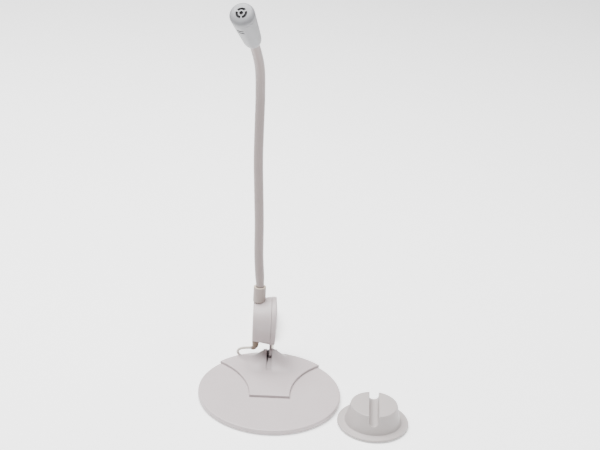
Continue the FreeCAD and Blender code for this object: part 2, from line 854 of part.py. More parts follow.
def build_head():
    spot = frame_along(neck_route[-1], head_direction)
    body, cap = head_pieces()
    inside_front = head_length - head_wall
    felt_top = inside_front - 0.9
    felt_low = felt_top - 0.9
    capsule_low = felt_low - capsule_length
    boot_outer = head_radius(head_seam) - head_wall - 1.3
    boot = turned(
        [
            (capsule_radius, capsule_low - 1.0),
            (boot_outer, capsule_low - 1.0),
            (boot_outer, felt_low - 1.2),
            (capsule_radius, felt_low - 1.2),
        ]
    )
    capsule = cylinder(capsule_radius, (0, 0, capsule_low), (0, 0, felt_low))
    felt = cylinder(capsule_radius - 0.2, (0, 0, felt_low), (0, 0, felt_top))
    ports_low = port_heights[0] - 3
    ports_high = port_heights[1] + 1.8
    port_felt_outer = head_radius(ports_low) - head_wall - 0.15
    port_felt = cylinder(port_felt_outer, (0, 0, ports_low), (0, 0, ports_high)).cut(
        cylinder(port_felt_outer - 1.0, (0, 0, ports_low - 1), (0, 0, ports_high + 1))
    )
    ferrule = cylinder(head_bore_radius - 0.05, (0, 0, 0.1), (0, 0, 10)).cut(
        cylinder(core_bore_radius + 0.6, (0, 0, -1), (0, 0, 11))
    )
    leads = [cylinder(0.5, (side * 0.6, 0, 1.0), (side * 0.6, 0, capsule_low)) for side in (-1, 1)]
    pieces = {
        "head_body": body,
        "head_cap": cap,
        "mic_capsule": capsule,
        "capsule_boot": boot,
        "front_felt": felt,
        "port_felt": port_felt,
        "head_ferrule": ferrule,
    }
    for name, piece in pieces.items():
        save(name, placed(piece, spot))
    save("capsule_leads", [placed(lead, spot) for lead in leads])


# ---------------------------------------------------------------- loose holder
def build_holder():
    low = holder_pad_thickness
    flange_top = low + holder_flange_thickness
    rise = (holder_boss_low_radius - holder_boss_top_radius) / (holder_height - flange_top)
    outer = turned(
        [
            (0, low),
            (holder_flange_radius - 0.4, low),
            (holder_flange_radius, low + 0.4),
            (holder_flange_radius, flange_top - 0.7),
            (holder_flange_radius - 0.7, flange_top),
            (holder_boss_low_radius + 0.8, flange_top),
            (holder_boss_low_radius - 0.1, flange_top + 0.8),
            (holder_boss_top_radius + 0.15, holder_height - 0.7),
            (holder_boss_top_radius - 0.6, holder_height),
            (0, holder_height),
        ]
    )
    ceiling = holder_height - holder_wall
    hollow = turned(
        [
            (0, low - 1),
            (holder_boss_low_radius - holder_wall, low - 1),
            (holder_boss_low_radius - holder_wall, flange_top),
            (holder_boss_top_radius - holder_wall + rise * holder_wall, ceiling),
            (0, ceiling),
        ]
    )
    slot_radius = holder_slot_width / 2
    slot_bottom = holder_height - holder_slot_depth
    far = 40.0

    def channel(radius, top):
        round_z = slot_bottom + slot_radius
        round_part = cylinder(radius, (0, -far, round_z), (0, far, round_z))
        return round_part.fuse(block((-radius, -far, round_z), (radius, far, top)))

    walls = channel(slot_radius + holder_wall, holder_height + 5)
    body = outer.cut(hollow.cut(walls)).cut(channel(slot_radius, holder_height + 5))
    pad = cylinder(holder_flange_radius - 3, (0, 0, 0), (0, 0, low))
    spot = FreeCAD.Placement(
        Vec(holder_place[0], holder_place[1], 0), FreeCAD.Rotation(Z_AXIS, holder_turn)
    )
    save("neck_holder", placed(one_solid(body), spot))
    save("holder_pad", placed(pad, spot))


# ---------------------------------------------------------------- lead, put away in a hank
def racetrack(radius, low, high):
    near = hank_near_y
    far = hank_near_y + hank_run
    left = hank_x - radius
    right = hank_x + radius
    edges = [
        line((right, near, low), (right, far, low)),
        arc((right, far, low), (hank_x, far + radius, low), (left, far, low)),
        line((left, far, low), (left, near, low)),
        arc((left, near, low), (hank_x, near - radius, low), (right, near, low)),
    ]
    return outline_face(edges).extrude(Vec(0, 0, high - low))


def cord_tie():
    clear = 0.05
    reach = hank_outer_radius + clear
    inner = block(
        (hank_x - reach, tie_y - tie_width, hank_bottom - clear),
        (hank_x + reach, tie_y + tie_width, hank_top + clear),
    )
    outer = block(
        (hank_x - reach - tie_thickness, tie_y - tie_width / 2, hank_bottom - clear - tie_thickness),
        (hank_x + reach + tie_thickness, tie_y + tie_width / 2, hank_top + clear + tie_thickness),
    )
    return outer.cut(inner)


def build_cord():
    save("cord_lead", cord_tube(cord_route, cord_diameter))
    hank = racetrack(hank_outer_radius, hank_bottom, hank_top)
    hank = hank.cut(racetrack(hank_inner_radius, hank_bottom - 1, hank_top + 1))
    save("cord_hank", hank)
    save("cord_end", cord_tube(cord_end_route, cord_diameter))
    save("cord_tie", cord_tie())
    x, z = plug_axis
    y = plug_rear_y
    relief_end = y + 6
    body_end = y + 20
    relief = cone(1.6, 2.6, (x, y, z), (x, relief_end, z))
    grip = cylinder(3.1, (x, relief_end, z), (x, body_end, z))
    save("plug_body", one_solid(relief.fuse(grip)))
    shaft = cylinder(1.75, (x, body_end, z), (x, body_end + 11.0, z))
    neck = cone(1.75, 1.1, (x, body_end + 11.0, z), (x, body_end + 12.0, z))
    tip = cone(1.75, 0.7, (x, body_end + 12.0, z), (x, body_end + 14.0, z))
    save("plug_jack", one_solid(shaft.fuse(neck).fuse(tip)))


def main():
    os.makedirs("parts", exist_ok=True)
    build_base()
    build_housing()
    build_neck()
    build_head()
    build_holder()
    build_cord()


main()
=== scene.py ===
import json
import math
import random
import bmesh
import bpy
from mathutils import Matrix, Vector


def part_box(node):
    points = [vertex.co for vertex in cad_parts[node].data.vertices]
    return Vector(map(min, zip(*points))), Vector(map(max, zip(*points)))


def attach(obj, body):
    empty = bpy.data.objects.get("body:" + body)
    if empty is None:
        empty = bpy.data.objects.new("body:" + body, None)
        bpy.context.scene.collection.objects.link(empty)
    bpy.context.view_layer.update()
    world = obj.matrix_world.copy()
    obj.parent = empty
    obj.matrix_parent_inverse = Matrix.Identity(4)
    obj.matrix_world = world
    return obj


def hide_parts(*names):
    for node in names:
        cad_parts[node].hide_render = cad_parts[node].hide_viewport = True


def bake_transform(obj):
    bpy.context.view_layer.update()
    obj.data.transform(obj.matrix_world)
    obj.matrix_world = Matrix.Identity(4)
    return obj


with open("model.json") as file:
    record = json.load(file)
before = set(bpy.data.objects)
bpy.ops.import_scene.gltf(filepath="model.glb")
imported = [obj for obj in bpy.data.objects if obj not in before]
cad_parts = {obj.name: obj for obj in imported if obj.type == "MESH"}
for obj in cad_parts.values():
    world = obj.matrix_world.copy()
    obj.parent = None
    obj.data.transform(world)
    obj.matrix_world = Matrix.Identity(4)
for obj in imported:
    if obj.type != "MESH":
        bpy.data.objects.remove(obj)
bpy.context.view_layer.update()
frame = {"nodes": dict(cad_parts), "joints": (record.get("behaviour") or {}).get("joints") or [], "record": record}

# Looks of the desk microphone. Sizes below are in millimetres in the object's frame and are
# turned into metres where a mesh is made.

MM = 0.001
X = Vector((1, 0, 0))
Y = Vector((0, 1, 0))
Z = Vector((0, 0, 1))
scene = bpy.context.scene
random.seed(7)


def box_mm(node):
    low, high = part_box(node)
    return low / MM, high / MM


_, shell_high = box_mm("base_shell")
saddle_low, saddle_high = box_mm("stand_saddle")
body_low, body_high = box_mm("housing_body")
lid_low, lid_high = box_mm("housing_lid")
holder_low, holder_high = box_mm("neck_holder")
collar_low, collar_high = box_mm("neck_collar")
tie_low, tie_high = box_mm("cord_tie")
hank_low, hank_high = box_mm("cord_hank")
plug_low, plug_high = box_mm("plug_body")
jack_low, jack_high = box_mm("plug_jack")
joints = {joint["name"]: joint for joint in frame["joints"]}
tilt_pivot = Vector(joints["stand_tilt"]["pos_m"]) / MM
neck_pivots = [
    Vector(joint["pos_m"]) / MM for joint in frame["joints"] if joint["name"].startswith("neck_")
]
head_rear = Vector((-27.1, 4.9, 308.6))
head_axis = Vector((-0.209, -0.700, 0.683)).normalized()


# ---------------------------------------------------------------- camera
camera_data = bpy.data.cameras.new("camera")
camera = bpy.data.objects.new("camera", camera_data)
scene.collection.objects.link(camera)
right = Vector((0.9981, -0.0140, 0.0592)).normalized()
back = Vector((-0.0379, -0.9040, 0.4258)).normalized()
up = back.cross(right).normalized()
right = up.cross(back).normalized()
eye = Vector((-25.1, -995.1, 629.4)) * MM
camera.matrix_world = Matrix(
    (
        (right.x, up.x, back.x, eye.x),
        (right.y, up.y, back.y, eye.y),
        (right.z, up.z, back.z, eye.z),
        (0, 0, 0, 1),
    )
)
camera_data.sensor_fit = "HORIZONTAL"
camera_data.angle = math.radians(24.495)
camera_data.clip_start = 0.02
camera_data.clip_end = 20
scene.camera = camera


# ---------------------------------------------------------------- materials
def colour_node(tree, noise, low, high):
    ramp = tree.nodes.new("ShaderNodeValToRGB")
    ramp.color_ramp.elements[0].position = 0.3
    ramp.color_ramp.elements[1].position = 0.7
    ramp.color_ramp.elements[0].color = (*low, 1)
    ramp.color_ramp.elements[1].color = (*high, 1)
    tree.links.new(noise.outputs["Fac"], ramp.inputs["Fac"])
    return ramp.outputs["Color"]


def noise_node(tree, coordinates, scale, detail=4.0, roughness=0.55):
    noise = tree.nodes.new("ShaderNodeTexNoise")
    noise.inputs["Scale"].default_value = scale
    noise.inputs["Detail"].default_value = detail
    noise.inputs["Roughness"].default_value = roughness
    tree.links.new(coordinates, noise.inputs["Vector"])
    return noise


def map_node(tree, value, low, high):
    node = tree.nodes.new("ShaderNodeMapRange")
    node.inputs["From Min"].default_value = 0.3
    node.inputs["From Max"].default_value = 0.7
    node.inputs["To Min"].default_value = low
    node.inputs["To Max"].default_value = high
    tree.links.new(value, node.inputs["Value"])
    return node.outputs["Result"]


def surface(
    name,
    colour,
    rough=0.45,
    vary=0.04,
    patch=45.0,
    grain=2600.0,
    grain_depth=0.00003,
    metallic=0.0,
    stretch=(1, 1, 1),
    soft=0.0,
    sheen=0.0,
    specular=0.5,
):
    """A moulded, drawn or woven surface: patchy colour and gloss, and a fine grain in relief."""
    material = bpy.data.materials.new(name)
    material.use_nodes = True
    tree = material.node_tree
    shader = tree.nodes["Principled BSDF"]
    place = tree.nodes.new("ShaderNodeTexCoord")
    mapping = tree.nodes.new("ShaderNodeMapping")
    mapping.inputs["Scale"].default_value = stretch
    tree.links.new(place.outputs["Object"], mapping.inputs["Vector"])
    coordinates = mapping.outputs["Vector"]
    wide = noise_node(tree, coordinates, patch)
    fine = noise_node(tree, coordinates, grain, 3.0, 0.6)
    middle = noise_node(tree, coordinates, grain / 7, 2.0, 0.5)
    low = [max(0, c * (1 - vary)) for c in colour]
    high = [min(1, c * (1 + vary)) for c in colour]
    tree.links.new(colour_node(tree, wide, low, high), shader.inputs["Base Color"])
    gloss = map_node(tree, middle.outputs["Fac"], rough - 0.05, rough + 0.06)
    tree.links.new(gloss, shader.inputs["Roughness"])
    bump = tree.nodes.new("ShaderNodeBump")
    bump.inputs["Strength"].default_value = 0.6
    bump.inputs["Distance"].default_value = grain_depth
    tree.links.new(fine.outputs["Fac"], bump.inputs["Height"])
    tree.links.new(bump.outputs["Normal"], shader.inputs["Normal"])
    shader.inputs["Metallic"].default_value = metallic
    shader.inputs["Specular IOR Level"].default_value = specular
    if soft:
        shader.inputs["Subsurface Weight"].default_value = soft
        shader.inputs["Subsurface Radius"].default_value = (0.0012, 0.0010, 0.0008)
        shader.inputs["Subsurface Scale"].default_value = 1.0
    if sheen:
        shader.inputs["Sheen Weight"].default_value = sheen
    return material


looks = {
    "shell": surface("shell", (0.43, 0.378, 0.381), 0.40, 0.02, soft=0.05),
    "housing": surface("housing", (0.40, 0.350, 0.350), 0.42, 0.02, soft=0.05),
    # head: the shell's plastic painted about half as bright, painted shade for the head's dimmer sides
    "head": surface("head", (0.20, 0.201, 0.21), 0.40, 0.02, soft=0.05),
    "holder": surface("holder", (0.37, 0.337, 0.328), 0.40, 0.02, soft=0.05),
    "collar": surface("collar", (0.265, 0.215, 0.195), 0.38, 0.03),
    # rim: cream, brighter than the shell; painted highlight for the lit top ring of the neck collar
    "rim": surface("rim", (0.62, 0.52, 0.41), 0.38, 0.03),
    "relief": surface("relief", (0.20, 0.15, 0.112), 0.45, 0.05),
    "sleeve": surface("sleeve", (0.235, 0.190, 0.182), 0.36, 0.025, patch=70, grain=1500),
    "inner_plastic": surface("inner_plastic", (0.30, 0.30, 0.30), 0.5),
    "steel": surface("steel", (0.50, 0.50, 0.51), 0.38, 0.08, metallic=1.0, stretch=(1, 14, 1)),
    "screw_steel": surface("screw_steel", (0.60, 0.60, 0.61), 0.3, 0.08, metallic=1.0, grain=5000),
    "neck_steel": surface("neck_steel", (0.50, 0.50, 0.51), 0.35, 0.08, metallic=1.0),
    "foam": surface("foam", (0.028, 0.028, 0.030), 0.85, 0.3, grain=1800, grain_depth=0.00025),
    "board": surface("board", (0.03, 0.14, 0.06), 0.35, 0.1),
    "board_parts": surface("board_parts", (0.04, 0.04, 0.045), 0.4, 0.1),
    "lead": surface("lead", (0.50, 0.08, 0.07), 0.4, 0.08),
    "capsule": surface("capsule", (0.72, 0.72, 0.73), 0.28, 0.04, metallic=1.0),
    "boot": surface("boot", (0.03, 0.03, 0.03), 0.7, 0.15),
    "felt": surface("felt", (0.010, 0.010, 0.011), 0.95, 0.3, grain=3500, grain_depth=0.0003, sheen=0.2),
    "cord": surface("cord", (0.50, 0.46, 0.41), 0.48, 0.04, grain=1800),
    "tie": surface("tie", (0.03, 0.03, 0.03), 0.5, 0.2),
    "plug": surface("plug", (0.50, 0.46, 0.41), 0.45, 0.04),
    "jack": surface("jack", (0.80, 0.79, 0.76), 0.16, 0.03, metallic=1.0, grain=6000, grain_depth=0.00001),
    # dark: near-black given to cut faces: painted shade in screw recesses and side port walls, and the felt behind
    # the side ports
    "dark": surface("dark", (0.012, 0.012, 0.013), 0.8, 0.3),
    "band": surface("band", (0.02, 0.02, 0.02), 0.35, 0.2),
}
slots = {row["node"]: row["material_slot"] for row in frame["record"]["subparts"]}
for node, thing in frame["nodes"].items():
    thing.data.materials.clear()
    thing.data.materials.append(looks[slots[node]])


# ---------------------------------------------------------------- mesh tools
def place_at(origin, direction, level=X):
    """Local +Z along a direction, local +X as near to a level direction as it can be."""
    z = Vector(direction).normalized()
    x = (level - z * level.dot(z)).normalized()
    y = z.cross(x)
    o = Vector(origin)
    return Matrix(
        ((x.x, y.x, z.x, o.x), (x.y, y.y, z.y, o.y), (x.z, y.z, z.z, o.z), (0, 0, 0, 1))
    )


def shade(bm, angle=32.0):
    limit = math.radians(angle)
    for face in bm.faces:
        face.smooth = True
    for edge in bm.edges:
        if len(edge.link_faces) == 2:
            edge.smooth = edge.calc_face_angle(0.0) < limit


def to_object(bm, name, material, place=None, angle=32.0, outward=True):
    if outward:
        bmesh.ops.recalc_face_normals(bm, faces=bm.faces)
    shade(bm, angle)
    if place is not None:
        bm.transform(place)
    bm.transform(Matrix.Scale(MM, 4))
    mesh = bpy.data.meshes.new(name)
    bm.to_mesh(mesh)
    bm.free()
    mesh.materials.append(material)
    thing = bpy.data.objects.new(name, mesh)
    scene.collection.objects.link(thing)
    return thing


def soften(points, steps=6, closed=False):
    """Turns the corners of a list of (x, y, radius) points into arcs."""
    result = []
    count = len(points)
    for i, point in enumerate(points):
        corner = Vector(point[:2])
        radius = point[2] if len(point) > 2 else 0
        if radius <= 0 or (not closed and i in (0, count - 1)):
            result.append(tuple(corner))
            continue
        before = Vector(points[i - 1][:2]) - corner
        after = Vector(points[(i + 1) % count][:2]) - corner
        half = before.angle(after) / 2
        cut = min(radius / math.tan(half), 0.49 * before.length, 0.49 * after.length)
        actual = cut * math.tan(half)
        centre = corner + (before.normalized() + after.normalized()).normalized() * (
            actual / math.sin(half)
        )
        first = corner + before.normalized() * cut - centre
        last = corner + after.normalized() * cut - centre
        start = math.atan2(first.y, first.x)
        sweep = math.atan2(last.y, last.x) - start
        sweep = (sweep + math.pi) % (2 * math.pi) - math.pi
        for k in range(steps + 1):
            a = start + sweep * k / steps
            result.append((centre.x + actual * math.cos(a), centre.y + actual * math.sin(a)))
    return result


def add_rings(bm, rings, closed=False):
    pairs = list(zip(rings, rings[1:]))
    if closed:
        pairs.append((rings[-1], rings[0]))
    for a, b in pairs:
        count = max(len(a), len(b))
        for i in range(count):
            j = (i + 1) % count
            if len(a) == 1 and len(b) == 1:
                continue
            if len(a) == 1:
                bm.faces.new((a[0], b[j], b[i]))
            elif len(b) == 1:
                bm.faces.new((a[i], a[j], b[0]))
            else:
                bm.faces.new((a[i], a[j], b[j], b[i]))


def lathe(name, profile, material, place=None, segments=144, closed=False, angle=32.0):
    """A turned piece from (radius, height) points about the local Z axis."""
    bm = bmesh.new()
    rings = []
    for radius, height in profile:
        if radius < 1e-6:
            rings.append([bm.verts.new((0, 0, height))])
            continue
        ring = []
        for i in range(segments):
            a = 2 * math.pi * i / segments
            ring.append(bm.verts.new((radius * math.cos(a), radius * math.sin(a), height)))
        rings.append(ring)
    add_rings(bm, rings, closed)
    return to_object(bm, name, material, place, angle)


def inset_outline(outline, distance):
    """Moves a counter-clockwise outline inwards."""
    result = []
    count = len(outline)
    for i in range(count):
        a = Vector(outline[i - 1])
        b = Vector(outline[i])
        c = Vector(outline[(i + 1) % count])
        before = (b - a).normalized()
        after = (c - b).normalized()
        normal = Vector((-before.y - after.y, before.x + after.x))
        normal.normalize()
        stretch = max(0.35, normal.dot(Vector((-before.y, before.x))))
        result.append(tuple(b + normal * distance / stretch))
    return result


def plate_rings(bm, outline, low, high, round_low, round_high, steps=5):
    rings = []

    def ring(inset, height):
        moved = inset_outline(outline, inset)
        rings.append([bm.verts.new((x, y, height)) for x, y in moved])

    ring(round_low + 0.25, low)
    for k in range(steps + 1):
        a = math.radians(90) * k / steps
        ring(round_low * (1 - math.sin(a)), low + round_low * (1 - math.cos(a)))
    for k in range(steps + 1):
        a = math.radians(90) * k / steps
        ring(round_high * (1 - math.cos(a)), high - round_high * (1 - math.sin(a)))
    ring(round_high + 0.25, high)
    add_rings(bm, rings)
    bm.faces.new(rings[0][::-1])
    bm.faces.new(rings[-1])


def plate(name, outline, low, high, round_low, round_high, material, place=None, steps=4):
    bm = bmesh.new()
    plate_rings(bm, outline, low, high, round_low, round_high, steps)
    return to_object(bm, name, material, place)


def frames_along(points):
    """Directions and sideways vectors along a path, turning as little as possible."""
    count = len(points)
    directions = []
    for i in range(count):
        a = points[max(i - 1, 0)]
        b = points[min(i + 1, count - 1)]
        directions.append((b - a).normalized())
    side = X - directions[0] * X.dot(directions[0])
    if side.length < 0.1:
        side = Y - directions[0] * Y.dot(directions[0])
    side.normalize()
    sides = [side]
    for i in range(1, count):
        side = side - directions[i] * side.dot(directions[i])
        side.normalize()
        sides.append(side)
    return directions, sides


def tube(name, points, radii, material, around=48, caps=True, sides=None):
    """A round bar along a path, with a radius at each point."""
    bm = bmesh.new()
    directions, own_sides = frames_along(points)
    sides = sides or own_sides
    rings = []
    for point, direction, side, radius in zip(points, directions, sides, radii):
        other = direction.cross(side)
        ring = []
        for i in range(around):
            a = 2 * math.pi * i / around
            ring.append(bm.verts.new(point + (side * math.cos(a) + other * math.sin(a)) * radius))
        rings.append(ring)
    add_rings(bm, rings)
    if caps:
        bm.faces.new(rings[0][::-1])
        bm.faces.new(rings[-1])
    return to_object(bm, name, material)


def prism(outline, low, high, place, material):
    """A cutter: a flat outline stretched between two heights."""
    bm = bmesh.new()
    rings = [[bm.verts.new((x, y, h)) for x, y in outline] for h in (low, high)]
    add_rings(bm, rings)
    bm.faces.new(rings[0][::-1])
    bm.faces.new(rings[1])
    return to_object(bm, "cutter", material, place)


def carve(thing, cutters, angle=32.0):
    """Cuts other solids out of a piece and shades it again."""
    for cutter in cutters:
        change = thing.modifiers.new("cut", "BOOLEAN")
        change.object = cutter
        change.operation = "DIFFERENCE"
        change.solver = "EXACT"
        # TRANSFER gives the cut faces the cutter's colour; the dark and felt cutters use this to paint shade into
        # recesses.
        change.material_mode = "TRANSFER"
    bpy.context.view_layer.update()
    graph = bpy.context.evaluated_depsgraph_get()
    mesh = bpy.data.meshes.new_from_object(thing.evaluated_get(graph))
    thing.modifiers.clear()
    thing.data = mesh
    for cutter in cutters:
        bpy.data.objects.remove(cutter)
    bm = bmesh.new()
    bm.from_mesh(mesh)
    bmesh.ops.remove_doubles(bm, verts=bm.verts, dist=1e-7)
    shade(bm, angle)
    bm.to_mesh(mesh)
    bm.free()
    return thing


def circle(radius, count=64, centre=(0, 0)):
    return [
        (
            centre[0] + radius * math.cos(2 * math.pi * i / count),
            centre[1] + radius * math.sin(2 * math.pi * i / count),
        )
        for i in range(count)
    ]


def sector(inner, outer, start, end, steps=20, corner=0.0):
    """The outline of a piece of a ring, angles in degrees, with softened corners."""
    outline = []
    for k in range(steps + 1):
        a = math.radians(start + (end - start) * k / steps)
        outline.append((outer * math.cos(a), outer * math.sin(a)))
    for k in range(steps + 1):
        a = math.radians(end + (start - end) * k / steps)
        outline.append((inner * math.cos(a), inner * math.sin(a)))
    if corner:
        marks = {0, steps, steps + 1, 2 * steps + 1}
        outline = soften(
            [(x, y, corner if i in marks else 0) for i, (x, y) in enumerate(outline)], 4, True
        )
    return outline


def dress(thing, body, slot, *nodes):
    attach(thing, body)
    if nodes:
        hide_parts(*nodes)
    return thing


# ---------------------------------------------------------------- the lead
cord_radius = 1.1
cord_route = [
    (-17.1, 48.0, 18.0),
    (-25.0, 49.7, 16.8),
    (-29.4, 54.8, 10.2),
    (-26.0, 59.8, 1.8),
    (-16.0, 61.4, 1.2),
    (-7.0, 63.6, 1.2),
    (0.2, 68.6, 1.2),
    (2.2, 77.5, 1.2),
    (2.3, 89.0, 1.25),
]
hank_x = (hank_low.x + hank_high.x) / 2
near_y = hank_low.y + 9.9
far_y = hank_high.y - 9.9
columns = (6.6, 8.8)
layer_heights = [1.75, 4.0, 6.25, 8.5, 10.75]
plug_x = (plug_low.x + plug_high.x) / 2
plug_z = (plug_low.z + plug_high.z) / 2


def end_turn(centre, r_start, r_end, z_start, z_end, first_angle):
    """Half a turn as points just outside the arc, so that the curve runs on the arc."""
    points = []
    for k in range(6):
        share = (k + 0.5) / 6
        a = math.radians(first_angle + 180 * share)
        r = (r_start + (r_end - r_start) * share) / math.cos(math.radians(15))
        z = z_start + (z_end - z_start) * share
        points.append((centre[0] + r * math.cos(a), centre[1] + r * math.sin(a), z))
    return points


def hank_points():
    turns = []
    for layer, z in enumerate(layer_heights):
        pair = columns if layer % 2 == 0 else columns[::-1]
        turns += [(r, z) for r in pair]
    points = []
    for i, (r, z) in enumerate(turns):
        last = i == len(turns) - 1
        next_r, next_z = turns[i] if last else turns[i + 1]
        for y in (near_y + 3, near_y + 14, near_y + 26, far_y - 3):
            points.append((hank_x + r, y, z))
        points += end_turn((hank_x, far_y), r, r, z, z, 0)
        if last:
            for y in (far_y - 3, far_y - 12):
                points.append((hank_x - r, y, z))
            break
        for y in (far_y - 3, near_y + 26, near_y + 14, near_y + 3):
            points.append((hank_x - r, y, z))
        points += end_turn((hank_x, near_y), r, next_r, z, next_z, 180)
    return points


fold_radius = (plug_x - (hank_x - columns[1])) / 2
fold_x = (plug_x + hank_x - columns[1]) / 2
cord_points = list(cord_route) + hank_points()
cord_points += [
    (hank_x - columns[1], near_y + 19.0, 10.8),
    (hank_x - columns[1], near_y + 13.0, 11.3),
    (hank_x - columns[1], near_y + 7.0, 12.5),
]
cord_points += end_turn((fold_x, near_y + 0.2), fold_radius, fold_radius, 12.95, 14.9, 180)
cord_points += [(plug_x, near_y + 4.0, 15.3), (plug_x, plug_low.y + 1.5, plug_z)]


def cord_curve():
    curve = bpy.data.curves.new("cord", "CURVE")
    curve.dimensions = "3D"
    curve.bevel_depth = cord_radius * MM
    curve.bevel_resolution = 5
    curve.resolution_u = 6
    curve.use_fill_caps = True
    spline = curve.splines.new("NURBS")
    spline.points.add(len(cord_points) - 1)
    for point, place in zip(spline.points, cord_points):
        point.co = (*(Vector(place) * MM), 1)
    spline.order_u = 3
    spline.use_endpoint_u = True
    curve.materials.append(looks["cord"])
    thing = bpy.data.objects.new("cord", curve)
    scene.collection.objects.link(thing)
    return thing


cord = dress(cord_curve(), "base", "cord", "cord_lead", "cord_hank", "cord_end")


def plug_pieces():
    place = place_at((plug_x, plug_low.y, plug_z), Y)
    length = plug_high.y - plug_low.y
    profile = [(0.0, -0.4), (1.35, -0.4), (1.6, -0.1)]
    for k in range(4):
        h = 0.5 + 1.45 * k
        r = 1.62 + 0.23 * k
        profile += [(r + 0.18, h), (r + 0.2, h + 0.75), (r - 0.12, h + 0.85), (r - 0.1, h + 1.35)]
    grip = [(2.35, 6.4), (3.05, 7.0, 0.4), (3.1, 11.0, 2.0), (2.9, 13.0, 2.0), (3.1, 15.5, 2.0)]
    grip += [(3.1, length - 0.2, 0.3), (2.6, length, 0.2), (0.0, length)]
    profile += soften(grip, 5)
    body = lathe("plug_grip", profile, looks["plug"], place, 72)
    dress(body, "base", "plug", "plug_body")
    tip = jack_high.y - jack_low.y
    place = place_at((plug_x, jack_low.y, plug_z), Y)
    shaft = [(0, -0.3), (1.75, -0.3), (1.75, 7.55, 0.05), (1.66, 7.6), (1.66, 8.2), (1.75, 8.25, 0.05)]
    shaft += [(1.75, 10.4, 0.05), (1.66, 10.45), (1.66, 11.0), (1.75, 11.05, 0.1), (1.7, 11.3, 0.3)]
    shaft += [(1.1, tip - 2.1, 0.4), (1.72, tip - 1.45, 0.4), (0.75, tip, 0.3), (0, tip)]
    jack = lathe("plug_pin", soften(shaft, 4), looks["jack"], place, 64)
    dress(jack, "base", "jack", "plug_jack")
    bands = []
    for k, h in enumerate((7.58, 10.43)):
        ring = [(1.5, h), (1.735, h), (1.735, h + 0.62), (1.5, h + 0.62)]
        band = lathe(f"plug_band_{k + 1}", ring, looks["band"], place, 64, True)
        bands.append(dress(band, "base", "plug"))
    flange = soften([(0, -0.5), (2.35, -0.5, 0.1), (2.35, 0.45, 0.15), (1.6, 0.5), (0, 0.5)], 3)
    collar = dress(lathe("plug_flange", flange, looks["jack"], place, 64), "base", "jack")
    return [body, jack, collar, *bands]


def tie_strip():
    """A flat coated tie round the hank, its two ends twisted together on top."""
    width = tie_high.y - tie_low.y
    middle = (tie_low.y + tie_high.y) / 2
    thickness = 0.5
    outline = soften(
        [
            (tie_low.x + 0.25, tie_low.z + 0.25, 2.2),
            (tie_high.x - 0.25, tie_low.z + 0.25, 2.2),
            (tie_high.x - 0.25, tie_high.z - 0.25, 2.2),
            (tie_low.x + 0.25, tie_high.z - 0.25, 2.2),
        ],
        8,
        True,
    )
    bm = bmesh.new()
    rings = []
    shape = [(-0.5, 0.55), (-0.47, 0.9), (-0.2, 0.9), (-0.1, 1.0), (0.1, 1.0), (0.2, 0.9), (0.47, 0.9)]
    shape += [(0.5, 0.55), (0.5, 0.15), (-0.5, 0.15)]
    inner = inset_outline(outline, thickness)
    for share, level in shape:
        ring = []
        for (ox, oz), (ix, iz) in zip(outline, inner):
            x = ix + (ox - ix) * level
            z = iz + (oz - iz) * level
            ring.append(bm.verts.new((x, middle + share * width, z)))
        rings.append(ring)
    add_rings(bm, rings, True)
    strip = dress(to_object(bm, "tie_strip", looks["tie"]), "base", "tie", "cord_tie")
    ends = []
    start = Vector((hank_x - 1.5, middle, tie_high.z + 0.2))
    for strand in range(2):
        points = []
        for k in range(61):
            t = k / 60
            a = strand * math.pi + t * 5.5 * math.pi
            along = t * 9.0
            swing = 0.42 * min(1, 3 * t + 0.2)
            points.append(
                start
                + Vector((-along * 0.35, -along * 0.9, 0.25 + 0.3 * math.sin(t * 3)))
                + Vector((math.cos(a) * swing, 0, math.sin(a) * swing))
            )
        wire = tube(f"tie_end_{strand + 1}", points, [0.4] * len(points), looks["tie"], 12)
        ends.append(dress(wire, "base", "tie"))
    return [strip, *ends]


plug = plug_pieces()
tie = tie_strip()


# ---------------------------------------------------------------- base
saddle_top = 7.2
hill_height = saddle_high.z - saddle_top
hill_half = 20.0
hill_front = 24.0
hill_back = 11.8
hill_edge = 59.7
slot_floor = 7.8
rib_front_y = 29.6
rib_crest_y = 39.6
rib_depth = 1.3
web_near_y = 52.5
web_far_y = 57.8
housing_screw_radius = 14.2
housing_screw_angles = (35, 145, 215, 325)


def arc_points(start, middle, end, steps):
    """Points on the circle through three points, the first one left out."""
    a, b, c = Vector(start), Vector(middle), Vector(end)
    d = 2 * (a.x * (b.y - c.y) + b.x * (c.y - a.y) + c.x * (a.y - b.y))
    aa, bb, cc = a.length_squared, b.length_squared, c.length_squared
    centre = Vector(
        (
            (aa * (b.y - c.y) + bb * (c.y - a.y) + cc * (a.y - b.y)) / d,
            (aa * (c.x - b.x) + bb * (a.x - c.x) + cc * (b.x - a.x)) / d,
        )
    )
    radius = (a - centre).length
    angles = [math.atan2(p.y - centre.y, p.x - centre.x) for p in (a, b, c)]
    turn = (angles[2] - angles[0]) % (2 * math.pi)
    if (angles[1] - angles[0]) % (2 * math.pi) > turn:
        turn -= 2 * math.pi
    result = []
    for k in range(1, steps + 1):
        angle = angles[0] + turn * k / steps
        result.append((centre.x + radius * math.cos(angle), centre.y + radius * math.sin(angle)))
    return result


def saddle_outline():
    front = 16.9
    y = saddle_low.y
    radius = shell_high.x - 0.05
    tip = (43.0, math.sqrt(radius**2 - 43.0**2))
    points = [(-front, y)]
    points += [(-front + 2 * front * k / 12, y) for k in range(1, 13)]
    points += arc_points((front, y), (24.8, 21.0), tip, 40)
    points += arc_points(tip, (0, radius), (-tip[0], tip[1]), 72)
    points += arc_points((-tip[0], tip[1]), (-24.8, 21.0), (-front, y), 40)[:-1]
    return points


def hill_z(x, y):
    reach = hill_front if y < tilt_pivot.y else hill_back
    along = (y - tilt_pivot.y) / reach
    if abs(along) >= 1 or abs(x) >= hill_half:
        return saddle_top
    across = math.cos(math.pi * x / (2 * hill_half)) ** 2
    return saddle_top + hill_height * across * math.cos(math.pi * along / 2) ** 2


